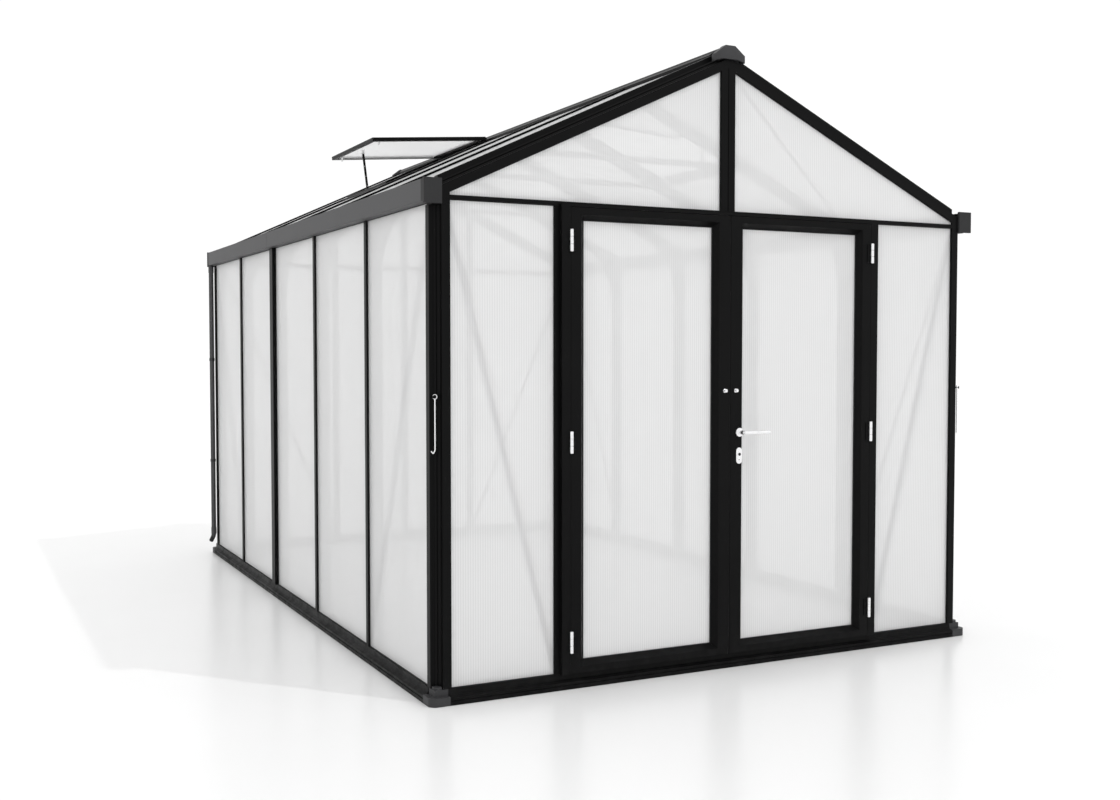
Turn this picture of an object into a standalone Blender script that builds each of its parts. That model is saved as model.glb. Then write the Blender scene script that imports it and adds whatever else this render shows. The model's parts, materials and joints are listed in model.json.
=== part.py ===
"""Walk-in aluminium greenhouse with twin-wall panes, double doors and two roof vents.

Metres, +Z up. The door end faces -Y, and the origin is under the middle of the whole object.
"""
import math

import bmesh
import bpy
from mathutils import Matrix, Vector

# Driving dimensions
WIDTH = 2.700               # over the outer faces of the side walls
BAYS = 5                    # bays along each side
BAY = 0.824                 # pitch of the bars
PITCH = math.radians(25)    # slope of the roof
RIDGE_Z = 2.657             # height at which the two roof planes meet
WALL_FOOT = 0.060           # top of the base rails
EAVE_Z = 1.940              # underside of the gutters
HEADER_Z = 1.9515           # underside of the gable's bottom rail
HEADER_TOP = 1.966          # and its top
GAP = 0.0008                # play between a pane and its frame
SEAT = 0.0003               # play between two frame pieces
LAP = 0.0001                # small step between joined faces, so that they never share a plane

# Glazing section: the depths are measured inwards from a wall's or the roof's outer plane
LIP = 0.009                 # thickness of the cap outside a pane
SLOT_BACK = 0.0202          # inner side of the pane's slot
FLANGE = 0.0245             # inner side of the flange behind a pane
PANE_FRONT = LIP + GAP
PANE_BACK = SLOT_BACK - GAP
PANE_FOOT = 0.052           # lower edge of the wall panes, in the base rails' slot
RIB = 0.075                 # inner side of the posts and rafters
SPACE = 0.00035             # play that a cut for an end wall's pane leaves on each face

# Corner section, shared by the corner posts and the gable rafters
LEG = 0.038                 # leg of the recessed corner
SHOULDER = 0.073            # far edge of each glazing channel
SLOT_END = 0.0595           # floor of each pane slot

# Base, gutter and ridge
BASE_LIP = 0.023            # how far the base stands out from the walls
BASE_DEPTH = 0.060          # how far it runs inwards
GUTTER_OUT = 0.035          # outer face of the fascia beyond the wall
GUTTER_IN = 0.0375          # inner face of the gutter inside the wall
GUTTER_TOP = 2.025          # top of the fascia
END_CAP = 0.010             # how far the gutter's end caps stand out
PIPE_R = 0.0155             # downpipe
RIDGE_HALF = 0.030          # half the width of the ridge box
RIDGE_WING = 0.050          # reach of the wings over the panes
RIDGE_FOOT = 2.570          # underside of the ridge box

# Arches and rear wall
TIE_Z = 2.300               # middle of the collar ties
KNEE_FOOT = 1.640           # lower tip of the knee plates
KNEE_REACH = 0.900          # inner tip, from the middle of the house
REAR_POSTS = (-0.510, 0.0, 0.510)

# Doors
JAMB_IN = 0.7683            # edges of a jamb, from the middle of the doorway
JAMB_OUT = 0.808
JAMB_FLANGE = 0.828         # far edge of the flange that holds a front pane
DOOR_PROUD = 0.023          # how far the door unit stands out from the wall
LEAF_BACK = 0.025           # inner face of the leaves
LEAF_EDGE = 0.767           # hinge edge of each leaf, from the middle
MEETING_GAP = 0.0022        # from the middle to each leaf
LEAF_FOOT = 0.062
LEAF_TOP = 1.9455
HINGE_STILE = 0.047         # widths of the leaf's members, without their sloping beads
MEETING_STILE = 0.055
LEAF_RAIL = 0.028
BEAD = 0.020
PIVOT_X = 0.768             # hinge axis, from the middle of the doorway
PIVOT_OUT = 0.030           # hinge axis in front of the wall plane
HINGE_HEIGHTS = (0.193, 1.003, 1.812)
HINGE_LENGTH = 0.088
HINGE_R = 0.006
HANDLE_X = 0.046
HANDLE_Z = 1.020
HANDLE_REACH = 0.070        # lever's centre line in front of the wall plane
LEVER_LENGTH = 0.130
LEVER_R = 0.0085
LOCK_Z = 0.919
EYE_Z = 1.200               # eyes on the leaves for the wind hooks
HOOK_Z = 1.195              # pins of the wind hooks
HOOK_PIN = 0.028            # length of the pin in front of the corner post's recess
HOOK_STAND = 0.020          # hook's plane in front of the recess
HOOK_LENGTH = 0.220
HOOK_R = 0.003
HOOK_RING = 0.0078          # from the middle of the hook's eye to the middle of its wire
RECESS = 0.029              # depth of the recess's face behind both outer planes

# Vents
VENT_LENGTH = 0.712
VENT_WIDTH = 0.818
VENT_OPEN = math.radians(20.3)
VENT_AXIS_U = 0.056         # hinge axis: distance from the ridge line, and height over the roof plane
VENT_AXIS_OUT = 0.012
VENT_THICK = 0.021
VENT_CLEAR = 0.0015         # between a closed vent and the bars under it
VENT_RAIL = 0.030           # width of the vent's head and sides
VENT_EDGE = 0.020           # width of its free edge
KNOB_S = 0.660              # bump knobs: distance down the vent, and in from its ends
KNOB_IN = 0.046
KNOB_TIP = 0.026            # their tips' depth under the hinge axis
STAY_S = 0.640              # stay pivot: distance down the vent, and depth under its hinge axis
STAY_DROP = 0.022
STAY_LENGTH = 0.240
STAY_LEAN = math.radians(7)
SILL_S = 0.680              # vent opening's lower edge, along the slope from the hinge axis

# Derived from the above
HALF = WIDTH / 2
LENGTH = BAYS * BAY
FRONT_REACH = HANDLE_REACH + LEVER_R
FRONT = (FRONT_REACH - LENGTH - BASE_LIP) / 2
REAR = FRONT + LENGTH
SLOPE = math.tan(PITCH)
RISE = 1 / math.cos(PITCH)

FINISHES = {             # colour, roughness, metallic
    "frame": ((0.012, 0.012, 0.013), 0.42, 0.6),
    "grey": ((0.085, 0.085, 0.088), 0.5, 0.2),
    "pane": ((0.86, 0.88, 0.88), 0.25, 0.0),
    "steel": ((0.72, 0.72, 0.73), 0.25, 1.0),
}


def clear_scene():
    for item in list(bpy.data.objects):
        bpy.data.objects.remove(item, do_unlink=True)


def make_material(name, colour, roughness, metallic):
    material = bpy.data.materials.new(name)
    material.use_nodes = True
    shader = material.node_tree.nodes["Principled BSDF"]
    shader.inputs["Base Color"].default_value = (*colour, 1)
    shader.inputs["Roughness"].default_value = roughness
    shader.inputs["Metallic"].default_value = metallic
    if name == "pane":
        shader.inputs["Alpha"].default_value = 0.45
    return material


clear_scene()
PARTS = bpy.data.collections.new("greenhouse")
CUTTERS = bpy.data.collections.new("cutters")
for collection in (PARTS, CUTTERS):
    bpy.context.scene.collection.children.link(collection)
MATERIALS = {name: make_material(name, *values) for name, values in FINISHES.items()}


# Solids

def as_tool(item):
    item.hide_render = True
    item.display_type = "WIRE"
    return item


def put(name, mesh, matrix=Matrix()):
    """A loose solid, kept with the cutters until it is named as a part."""
    item = bpy.data.objects.new(name, mesh)
    item.matrix_world = matrix
    CUTTERS.objects.link(item)
    return as_tool(item)


def part(item, name, finish):
    """Make a solid one of the object's parts."""
    CUTTERS.objects.unlink(item)
    PARTS.objects.link(item)
    item.name = name
    item.hide_render = False
    item.display_type = "TEXTURED"
    item.data.materials.clear()
    item.data.materials.append(MATERIALS[finish])
    return item


def box(low, high):
    mesh = bpy.data.meshes.new("box")
    shape = bmesh.new()
    bmesh.ops.create_cube(shape, size=1)
    size = Vector(high) - Vector(low)
    middle = (Vector(high) + Vector(low)) / 2
    placing = Matrix.Translation(middle) @ Matrix.Diagonal((*size, 1))
    bmesh.ops.transform(shape, matrix=placing, verts=shape.verts)
    shape.to_mesh(mesh)
    shape.free()
    return put("box", mesh)


def cylinder(radius, start, end, sides=20):
    start, end = Vector(start), Vector(end)
    mesh = bpy.data.meshes.new("cylinder")
    shape = bmesh.new()
    bmesh.ops.create_cone(shape, cap_ends=True, segments=sides, radius1=radius, radius2=radius,
                          depth=(end - start).length)
    shape.to_mesh(mesh)
    shape.free()
    mesh.shade_smooth()
    mesh.set_sharp_from_angle(angle=math.radians(40))
    turn = (end - start).to_track_quat("Z", "Y").to_matrix().to_4x4()
    return put("cylinder", mesh, Matrix.Translation((start + end) / 2) @ turn)


def solid_from_curve(curve, matrix, smooth=False):
    """The closed mesh of a filled or bevelled curve, with its caps welded."""
    holder = bpy.data.objects.new("curve", curve)
    bpy.context.scene.collection.objects.link(holder)
    bpy.context.view_layer.update()
    ready = holder.evaluated_get(bpy.context.evaluated_depsgraph_get())
    mesh = bpy.data.meshes.new_from_object(ready)
    bpy.data.objects.remove(holder, do_unlink=True)
    shape = bmesh.new()
    shape.from_mesh(mesh)
    bmesh.ops.remove_doubles(shape, verts=shape.verts, dist=0.00001)
    if curve.fill_mode == "BOTH":
        for end in (-1, 1):
            lid = [face for face in shape.faces if all(vert.co.z * end > 0 for vert in face.verts)]
            bmesh.ops.dissolve_faces(shape, faces=lid)
    bmesh.ops.recalc_face_normals(shape, faces=shape.faces)
    shape.to_mesh(mesh)
    shape.free()
    if smooth:
        mesh.shade_smooth()
        mesh.set_sharp_from_angle(angle=math.radians(40))
    return put("solid", mesh, matrix)


def extrusion(outline, start, end, across, up):
    """Sweep an outline of (across, up) points in a straight line from start to end."""
    start, end = Vector(start), Vector(end)
    across, up = Vector(across).normalized(), Vector(up).normalized()
    curve = bpy.data.curves.new("outline", "CURVE")
    curve.dimensions = "2D"
    curve.fill_mode = "BOTH"
    curve.extrude = (end - start).length / 2
    spline = curve.splines.new("POLY")
    spline.points.add(len(outline) - 1)
    for point, (a, b) in zip(spline.points, outline):
        point.co = (a, b, 0, 1)
    spline.use_cyclic_u = True
    matrix = Matrix((across, up, across.cross(up))).transposed().to_4x4()
    matrix.translation = (start + end) / 2
    return solid_from_curve(curve, matrix)


def plate(outline, y_low, y_high):
    """An upright plate: an outline of (x, z) points between two depths."""
    return extrusion(outline, (0, y_low, 0), (0, y_high, 0), (1, 0, 0), (0, 0, 1))


def tube(points, radius, smooth_bends=0.0):
    """A round bar along points, with each bend rounded to the given radius."""
    path = [Vector(points[0])]
    for before, corner, after in zip(points, points[1:], points[2:]):
        corner = Vector(corner)
        one = (Vector(before) - corner).normalized()
        two = (Vector(after) - corner).normalized()
        for step in range(5):
            part_way = step / 4
            arm_one = corner + one * smooth_bends * (1 - part_way) ** 2
            path.append(arm_one + two * smooth_bends * part_way ** 2)
    path.append(Vector(points[-1]))
    curve = bpy.data.curves.new("tube", "CURVE")
    curve.dimensions = "3D"
    curve.bevel_depth = radius
    curve.bevel_resolution = 2
    curve.use_fill_caps = True
    spline = curve.splines.new("POLY")
    spline.points.add(len(path) - 1)
    for point, place in zip(spline.points, path):
        point.co = (*place, 1)
    return solid_from_curve(curve, Matrix(), smooth=True)


def boolean(item, tool, operation):
    step = item.modifiers.new(operation.lower(), "BOOLEAN")
    step.operation = operation
    step.solver = "EXACT"
    step.object = tool
    return item


def join(item, *others):
    for other in others:
        boolean(item, other, "UNION")
    return item


def cut(item, *tools):
    for tool in tools:
        boolean(item, tool, "DIFFERENCE")
    return item


def move_origin(item, place):
    """Put an object's origin on a joint's axis without moving its shape."""
    shift = Matrix.Translation(Vector(place))
    item.data.transform(shift.inverted() @ item.matrix_world)
    item.matrix_world = shift
    return item


# Shared geometry

def roof_z(u, depth=0.0):
    """Height of the roof plane at distance u from the middle, a depth inside its outer face."""
    return RIDGE_Z - abs(u) * SLOPE - depth * RISE


def mirrored(points):
    """The same closed outline on the other side of the middle, in the same turning sense."""
    return [(-x, z) for x, z in reversed(points)]


def sided(side, points):
    return points if side > 0 else mirrored(points)


def house_band(outer, inner, foot):
    """The part of the house's cross-section between two depths."""
    def loop(depth):
        edge = HALF - depth
        return [(-edge, foot), (-edge, roof_z(edge, depth)), (0, roof_z(0, depth)),
                (edge, roof_z(edge, depth)), (edge, foot)]
    return loop(outer) + loop(inner)[::-1]


def corner_section():
    """Outline of the corner extrusion, as depths behind its two outer planes."""
    low, high = LEG - 0.018, LEG
    groove = 0.0025
    half = [(high, 0), (SHOULDER, 0), (SHOULDER, LIP), (SLOT_END, LIP), (SLOT_END, SLOT_BACK),
            (SHOULDER, SLOT_BACK), (SHOULDER, FLANGE), (0.050, FLANGE), (0.050, 0.050)]
    back = [(q, p) for p, q in reversed(half[:-1])]
    notch_far = [(low, high), (low + 0.0065, high - 0.0065), (low + 0.0065 + groove, high - 0.0065 + groove)]
    notch_near = [(q, p) for p, q in reversed(notch_far)]
    return half + back + notch_far + notch_near


def base_section():
    """Outline of a base rail: distance out from the wall plane, and height."""
    return [(BASE_LIP, 0), (BASE_LIP, 0.015), (BASE_LIP - 0.004, 0.0165), (BASE_LIP - 0.004, 0.0205),
            (BASE_LIP, 0.022), (BASE_LIP, 0.030), (0.010, 0.034), (0.003, 0.038), (0, WALL_FOOT),
            (-LIP, WALL_FOOT), (-LIP, 0.050), (-SLOT_BACK, 0.050), (-SLOT_BACK, WALL_FOOT),
            (-BASE_DEPTH, WALL_FOOT), (-BASE_DEPTH, 0), (-BASE_DEPTH + 0.004, 0),
            (-BASE_DEPTH + 0.004, 0.042), (0.003, 0.026), (0.003, 0)]


# Frame pieces

def base_rails():
    run = HALF - BASE_DEPTH - SEAT
    outline = base_section()
    for name, y, out in (("base_front", FRONT, -1), ("base_rear", REAR, 1)):
        rail = extrusion(outline, (-run * out, y, 0), (run * out, y, 0), (0, out, 0), (0, 0, 1))
        part(rail, name, "frame")
    near, far = FRONT + BASE_DEPTH + SEAT, REAR - BASE_DEPTH - SEAT
    for name, side in (("base_left", -1), ("base_right", 1)):
        ends = (far, near) if side > 0 else (near, far)
        start, end = (side * HALF, ends[0], 0), (side * HALF, ends[1], 0)
        part(extrusion(outline, start, end, (side, 0, 0), (0, 0, 1)), name, "frame")


def base_corner(name, side, y, out):
    """Moulded corner cap: a plinth with one round corner, a core, and a block in the post's recess."""
    radius, steps = 0.030, 6
    outer = BASE_LIP
    outline = [(-BASE_DEPTH, -BASE_DEPTH), (outer, -BASE_DEPTH)]
    for step in range(steps + 1):
        angle = math.pi / 2 * step / steps
        outline.append((outer - radius + radius * math.cos(angle), outer - radius + radius * math.sin(angle)))
    outline.append((-BASE_DEPTH, outer))
    if side * out < 0:
        outline = outline[::-1]

    def level(points, low, high):
        placed = [(side * (HALF + a), y + out * b) for a, b in points]
        return extrusion(placed, (0, 0, low), (0, 0, high), (1, 0, 0), (0, 1, 0))

    plinth = level(outline, 0, 0.034)
    core_points = [(-BASE_DEPTH, -BASE_DEPTH), (-0.001, -BASE_DEPTH), (-0.001, -0.001), (-BASE_DEPTH, -0.001)]
    core = level(core_points, 0.030, WALL_FOOT - SEAT)
    block_points = [(-0.034, -0.004), (-0.015, -0.004), (-0.004, -0.015), (-0.004, -0.034),
                    (-0.019, -0.034), (-0.034, -0.019)]
    block = level(block_points, 0.050, 0.070)
    part(join(plinth, core, block), name, "grey")


def hook_pivot(side):
    """Where a wind hook turns, in front of the recess of its corner post."""
    out = Vector((side, -1, 0)).normalized()
    return Vector((side * (HALF - RECESS), FRONT + RECESS, HOOK_Z)) + out * HOOK_STAND


def corner_posts():
    """Front corner posts, each with the headed pin that a wind hook hangs on."""
    section = corner_section()
    foot, top = WALL_FOOT + SEAT, EAVE_Z - 0.008 - SEAT
    for name, side in (("corner_post_left", -1), ("corner_post_right", 1)):
        outline = [(side * (HALF - p), FRONT + q) for p, q in section]
        post = extrusion(outline, (0, 0, foot), (0, 0, top), (1, 0, 0), (0, 1, 0))
        out = Vector((side, -1, 0)).normalized()
        face = hook_pivot(side) - out * HOOK_STAND
        pin = cylinder(0.003, face - out * 0.006, face + out * HOOK_PIN, 12)
        head = cylinder(0.0065, face + out * (HOOK_PIN - 0.002), face + out * (HOOK_PIN + 0.002), 16)
        part(join(post, pin, head), name, "frame")


def gutter(side):
    """Eave gutter with its fascia, trough, end caps and downpipe."""
    out, inner = HALF + GUTTER_OUT, HALF - GUTTER_IN
    under = SLOT_BACK + GAP
    edge = HALF + 0.0035
    wall = 0.0035
    section = [(out, EAVE_Z), (out, GUTTER_TOP), (out - wall, GUTTER_TOP), (out - wall, EAVE_Z + 0.0205),
               (edge, EAVE_Z + 0.0205), (edge, roof_z(edge, under)), (inner, roof_z(inner, under)),
               (inner, roof_z(inner, under + 0.003)), (HALF - 0.003, roof_z(HALF - 0.003, under + 0.003)),
               (HALF - 0.003, EAVE_Z + 0.015), (inner, EAVE_Z + 0.015), (inner, EAVE_Z),
               (HALF - SLOT_BACK, EAVE_Z), (HALF - SLOT_BACK, EAVE_Z + 0.011),
               (HALF - LIP, EAVE_Z + 0.011), (HALF - LIP, EAVE_Z)]
    body = plate(sided(side, section), FRONT, REAR)
    cap = [(inner, EAVE_Z - 0.008), (out + 0.0015, EAVE_Z - 0.008), (out + 0.0015, GUTTER_TOP + 0.004),
           (inner, GUTTER_TOP + 0.004)]
    front_cap = plate(sided(side, cap), FRONT - END_CAP, FRONT + 0.002)
    rear_cap = plate(sided(side, cap), REAR - 0.002, REAR + END_CAP)
    pipe_x = side * (HALF + 0.0175)
    pipe_y = REAR - 0.0225
    bend = [(pipe_x, pipe_y, EAVE_Z + 0.006), (pipe_x, pipe_y, 0.120),
            (pipe_x + side * 0.012, pipe_y + 0.030, 0.080)]
    pipe = tube(bend, PIPE_R, smooth_bends=0.020)
    sockets = [cylinder(PIPE_R + 0.0017, (pipe_x, pipe_y, z), (pipe_x, pipe_y, z + 0.045), 24)
               for z in (EAVE_Z - 0.048, 0.130)]
    name = "gutter_left" if side < 0 else "gutter_right"
    part(join(body, front_cap, rear_cap, pipe, *sockets), name, "grey")


def ridge_beam():
    """Ridge box with a wing over the panes at each side, a crown, and a stepped cap at each end."""
    wing = RIDGE_WING
    half = [(0.014, RIDGE_Z + 0.008), (wing, roof_z(wing, -0.005)), (wing, roof_z(wing, LIP - GAP)),
            (RIDGE_HALF, roof_z(RIDGE_HALF, LIP - GAP)), (RIDGE_HALF, roof_z(RIDGE_HALF, SLOT_BACK)),
            (RIDGE_HALF, RIDGE_FOOT), (RIDGE_HALF - 0.004, RIDGE_FOOT),
            (RIDGE_HALF - 0.004, RIDGE_FOOT + 0.035)]
    body = plate(half + mirrored(half), FRONT + SHOULDER + GAP, REAR - SHOULDER - GAP)
    step = [(0.020, RIDGE_Z + 0.008), (0.070, roof_z(0.070, -0.005)), (0.070, roof_z(0.070, 0.022)),
            (0.052, roof_z(0.052, 0.030)), (0.035, roof_z(0.035, -0.002))]
    end = step + mirrored(step)
    caps = [plate(end, FRONT - 0.008, FRONT - SEAT), plate(end, REAR + SEAT, REAR + 0.008)]
    crown = [(0.020, RIDGE_Z + 0.008), (0.034, roof_z(0.034, -0.0045)), (0.034, roof_z(0.034, -0.0006)),
             (0, roof_z(0, -0.0006)), (-0.034, roof_z(0.034, -0.0006)), (-0.034, roof_z(0.034, -0.0045)),
             (-0.020, RIDGE_Z + 0.008)]
    top = plate(crown, FRONT - 0.004, REAR + 0.004)
    part(join(body, top, *caps), "ridge_beam", "frame")


def eave_cutter(side, y_low, y_high):
    """The space that the gutter takes up, so that frames stop short of it."""
    inner = HALF - GUTTER_IN - SEAT
    far = HALF + 0.060
    under = LIP + LAP
    outline = [(inner, EAVE_Z - SEAT), (far, EAVE_Z - SEAT),
               (far, roof_z(far, under)), (inner, roof_z(inner, under))]
    return plate(sided(side, outline), y_low, y_high)


def portal(number):
    """One arch of the structure: two posts, two rafters, knee plates and a collar tie."""
    y = FRONT + number * BAY
    wide = number == 3
    cap_half = 0.0325 if wide else 0.015
    foot = WALL_FOOT + SEAT
    layers = ((0, LIP, cap_half), (LIP - 0.001, SLOT_BACK + 0.001, 0.003),
              (SLOT_BACK, FLANGE, cap_half), (FLANGE - 0.001, RIB, 0.010))
    bands = [plate(house_band(outer, inner, foot), y - half, y + half) for outer, inner, half in layers]
    arch = join(bands[0], *bands[1:])
    if wide:
        for side in (-1, 1):
            near, far, top = HALF - 0.002, HALF + 0.012, EAVE_Z - 0.002
            cover = [(near, foot), (far, foot), (far, top), (near, top)]
            join(arch, plate(sided(side, cover), y - cap_half, y + cap_half))
    for side in (-1, 1):
        join(arch, plate(sided(side, knee_outline()), y - 0.004, y + 0.004))
    tie_half = (RIDGE_Z - TIE_Z) / SLOPE - 0.050
    join(arch, box((-tie_half, y - 0.003, TIE_Z - 0.015), (tie_half, y + 0.003, TIE_Z + 0.015)))
    for side in (-1, 1):
        cut(arch, eave_cutter(side, y - 0.1, y + 0.1))
        near, far, low, high = HALF - 0.0005, HALF + 0.1, EAVE_Z - SEAT, EAVE_Z + 0.3
        tip = [(near, low), (far, low), (far, high), (near, high)]
        cut(arch, plate(sided(side, tip), y - 0.1, y + 0.1))
    wing = RIDGE_WING + SEAT
    below, above = RIDGE_FOOT - 0.07, RIDGE_Z + 0.15
    half_space = [(RIDGE_HALF + SEAT, below), (RIDGE_HALF + SEAT, roof_z(RIDGE_HALF, LIP)),
                  (wing, roof_z(wing, LIP)), (wing, above)]
    ridge_space = half_space + mirrored(half_space)
    cut(arch, plate(ridge_space, y - 0.1, y + 0.1))
    return arch


def knee_outline():
    """A plate in the corner of post and rafter with a hollow curved lower edge."""
    post = HALF - RIB + 0.010
    top = roof_z(KNEE_REACH, RIB - 0.010)
    outline = [(post, KNEE_FOOT), (post, roof_z(post, RIB - 0.010)), (KNEE_REACH, top)]
    steps = 8
    for step in range(1, steps):
        angle = math.pi / 2 * (1 - step / steps)
        outline.append((KNEE_REACH + (post - KNEE_REACH) * math.cos(angle),
                        KNEE_FOOT + (top - 0.030 - KNEE_FOOT) * math.sin(angle)))
    return outline


def vent_sill(side, bay):
    """Sill under a vent, which also holds the head of the short pane below, with its weather upstand."""
    low, high = FRONT + (bay - 1) * BAY, FRONT + bay * BAY

    def at(s, depth):
        u = VENT_AXIS_U + s * math.cos(PITCH)
        return (u, roof_z(u, depth))

    end = SILL_S + 0.034
    channel = [at(SILL_S, 0.0005), at(SILL_S, FLANGE), at(end, FLANGE), at(end, SLOT_BACK),
               at(SILL_S + 0.008, SLOT_BACK), at(SILL_S + 0.008, LIP), at(end, LIP), at(end, 0.0005)]
    near, far = SILL_S + LAP, SILL_S + 0.004
    upstand = [at(near, -0.009), at(near, 0.003), at(far, 0.003), at(far, -0.009)]
    middle, reach = (low + high) / 2, VENT_WIDTH / 2 - VENT_RAIL - 0.003
    sill = plate(sided(side, channel)[::-1], low + 0.004, high + 0.001)
    return join(sill, plate(sided(side, upstand)[::-1], middle - reach, middle + reach))


def portals():
    for number in range(1, BAYS):
        arch = portal(number)
        if number == 2:
            clip_sill(arch, 1, 2)
        if number == 4:
            clip_sill(arch, -1, 4)
        part(arch, f"portal_frame_{number}", "frame")


def clip_sill(arch, side, bay):
    """Join a vent's sill to the arch at its far end, and keep it clear of the arch at its near end."""
    near = FRONT + (bay - 1) * BAY
    half = 0.0325 if bay == 4 else 0.018
    x_low, x_high = sorted((side * 0.6, side * 0.8))
    sill = cut(vent_sill(side, bay), box((x_low, near - 0.1, 2.2), (x_high, near + half + SEAT, 2.5)))
    join(arch, sill)


def gable_rafters(y, inward):
    """Two rafters of the corner section, mitred at the ridge and cut upright at the eaves."""
    section = corner_section()
    rafters = []
    for side in (-1, 1):
        down = Vector((-side * math.sin(PITCH), 0, -math.cos(PITCH)))
        along = Vector((side * math.cos(PITCH), 0, -math.sin(PITCH)))
        top = Vector((0, y + (inward * 4 * LAP if side > 0 else 0), RIDGE_Z))
        across = Vector((0, inward, 0))
        start, end = top - along * 0.1, top + along * (HALF / math.cos(PITCH))
        if down.cross(across).dot(along) < 0:
            start, end = end, start
        bar = extrusion(section, start, end, down, across)
        limit = HALF - GUTTER_IN - SEAT
        for near, far, low, high in ((-side * LAP, -side, 2.3, 3.0), (side * limit, side * 2, 1.8, 2.3)):
            x_low, x_high = sorted((near, far))
            cut(bar, box((x_low, y - 0.2, low), (x_high, y + 0.2, high)))
        rafters.append(bar)
    return rafters


def mullion(x, y, inward, half, foot, top, inner=None):
    """An upright bar in a gable, with a pane slot at each side and a groove down its face."""
    section = [(-half, 0), (-0.002, 0), (-0.002, 0.0025), (0.002, 0.0025), (0.002, 0), (half, 0), (half, LIP),
               (half - 0.014, LIP), (half - 0.014, SLOT_BACK), (half, SLOT_BACK), (half, FLANGE)]
    section += [(inner, FLANGE), (inner, 0.055), (-inner, 0.055), (-inner, FLANGE)] if inner else []
    section += [(-half, FLANGE), (-half, SLOT_BACK), (-half + 0.014, SLOT_BACK), (-half + 0.014, LIP),
                (-half, LIP)]
    outline = [(x + a, y + inward * (q + 2 * LAP)) for a, q in section]
    return extrusion(outline, (0, 0, foot), (0, 0, top), (1, 0, 0), (0, 1, 0))


def gable_stubs(y, inward, foot):
    """Short uprights that carry the rafters' feet on the corner posts."""
    stubs = []
    limit = HALF - GUTTER_IN - SEAT
    y_low, y_high = sorted((y + inward * 3 * LAP, y + inward * (FLANGE - LAP)))
    for side in (-1, 1):
        x_low, x_high = sorted((side * (HALF - SHOULDER + LAP), side * (limit - LAP)))
        stubs.append(box((x_low, y_low, foot), (x_high, y_high, 1.985)))
    return stubs


def front_gable(panes):
    """Bottom rail, ridge post and rafters of the door end."""
    rafters = gable_rafters(FRONT, 1)
    run = HALF - GUTTER_IN - SEAT - 2 * LAP
    rebate = HEADER_TOP - 0.005
    header = [(0, HEADER_Z), (0, HEADER_TOP), (LIP, HEADER_TOP), (LIP, rebate), (SLOT_BACK, rebate),
              (SLOT_BACK, HEADER_TOP), (FLANGE, HEADER_TOP), (FLANGE, HEADER_Z)]
    placed = [(FRONT + q + LAP, z) for q, z in header]
    rail = extrusion(placed, (-run, 0, 0), (run, 0, 0), (0, 1, 0), (0, 0, 1))
    post = mullion(0, FRONT, 1, 0.035, HEADER_Z + 0.001, 2.600)
    stubs = gable_stubs(FRONT, 1, EAVE_Z - 0.008)
    frame = join(rail, *stubs, post, *rafters)
    cut(frame, *panes)
    part(frame, "front_gable_frame", "frame")


def rear_frame(panes):
    """Corner posts, uprights, cross rail and rafters of the rear wall."""
    rafters = gable_rafters(REAR, -1)
    foot, top = WALL_FOOT + SEAT, EAVE_Z - 0.008 - SEAT
    run = HALF - SHOULDER
    low, high = HEADER_Z - 0.012, HEADER_TOP + 0.004
    outer_rail = box((-run - LAP, REAR - LIP + LAP, low), (run + LAP, REAR - LAP, high))
    inner_rail = box((-run - LAP, REAR - FLANGE - 0.012, low), (run + LAP, REAR - SLOT_BACK - LAP, high))
    posts = [mullion(x, REAR, -1, 0.020, foot, roof_z(x, 0.055), inner=0.012) for x in REAR_POSTS]
    corners = []
    for side in (-1, 1):
        outline = [(side * (HALF - p), REAR - q) for p, q in corner_section()]
        corners.append(extrusion(outline, (0, 0, foot), (0, 0, top), (1, 0, 0), (0, 1, 0)))
    stubs = gable_stubs(REAR, -1, 1.900)
    frame = join(posts[0], outer_rail, inner_rail, *posts[1:], *stubs, *corners, *rafters)
    cut(frame, *panes)
    part(frame, "rear_frame", "frame")


# Panes

def pane_pair(outline, y, inward):
    """A pane in an end wall, and the slightly larger space that its frame leaves for it."""
    y_low, y_high = sorted((y + inward * PANE_FRONT, y + inward * PANE_BACK))
    centre_x = sum(x for x, z in outline) / len(outline)
    centre_z = sum(z for x, z in outline) / len(outline)
    width = max(x for x, z in outline) - min(x for x, z in outline)
    height = max(z for x, z in outline) - min(z for x, z in outline)
    grow_x, grow_z = 1 + 4 * GAP / width, 1 + 4 * GAP / height
    grown = [(centre_x + (x - centre_x) * grow_x, centre_z + (z - centre_z) * grow_z) for x, z in outline]
    return plate(outline, y_low, y_high), plate(grown, y_low - SPACE, y_high + SPACE)


def end_panes():
    """Panes of the door end and of the rear, with the spaces cut for them."""
    depth = SLOT_END + 0.002
    edge = HALF - SLOT_END - 0.002
    front_spaces, rear_spaces = [], []
    for side, hand in ((-1, "left"), (1, "right")):
        low, high = 0.019, edge
        gable = [(low, HEADER_TOP - 0.003), (high, HEADER_TOP - 0.003), (high, roof_z(high, depth)),
                 (low, roof_z(low, depth))]
        pane, space = pane_pair(sided(side, gable), FRONT, 1)
        part(pane, f"gable_pane_{hand}", "pane")
        front_spaces.append(space)
        near, foot, top = JAMB_FLANGE - 0.014, PANE_FOOT, HEADER_Z + 0.004
        screen = [(near, foot), (edge, foot), (edge, top), (near, top)]
        pane, space = pane_pair(sided(side, screen), FRONT, 1)
        part(pane, f"front_pane_{hand}", "pane")
        front_spaces.append(space)
    for number, (low, high) in enumerate(zip((-edge, *REAR_POSTS), (*REAR_POSTS, edge)), 1):
        start = low + (0.008 if number > 1 else 0)
        stop = high - (0.008 if number < 4 else 0)
        board = [(start, PANE_FOOT), (stop, PANE_FOOT),
                 (stop, roof_z(stop, depth)), (start, roof_z(start, depth))]
        pane, space = pane_pair(board, REAR, -1)
        part(pane, f"rear_pane_{number}", "pane")
        rear_spaces.append(space)
    return front_spaces, rear_spaces


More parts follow.
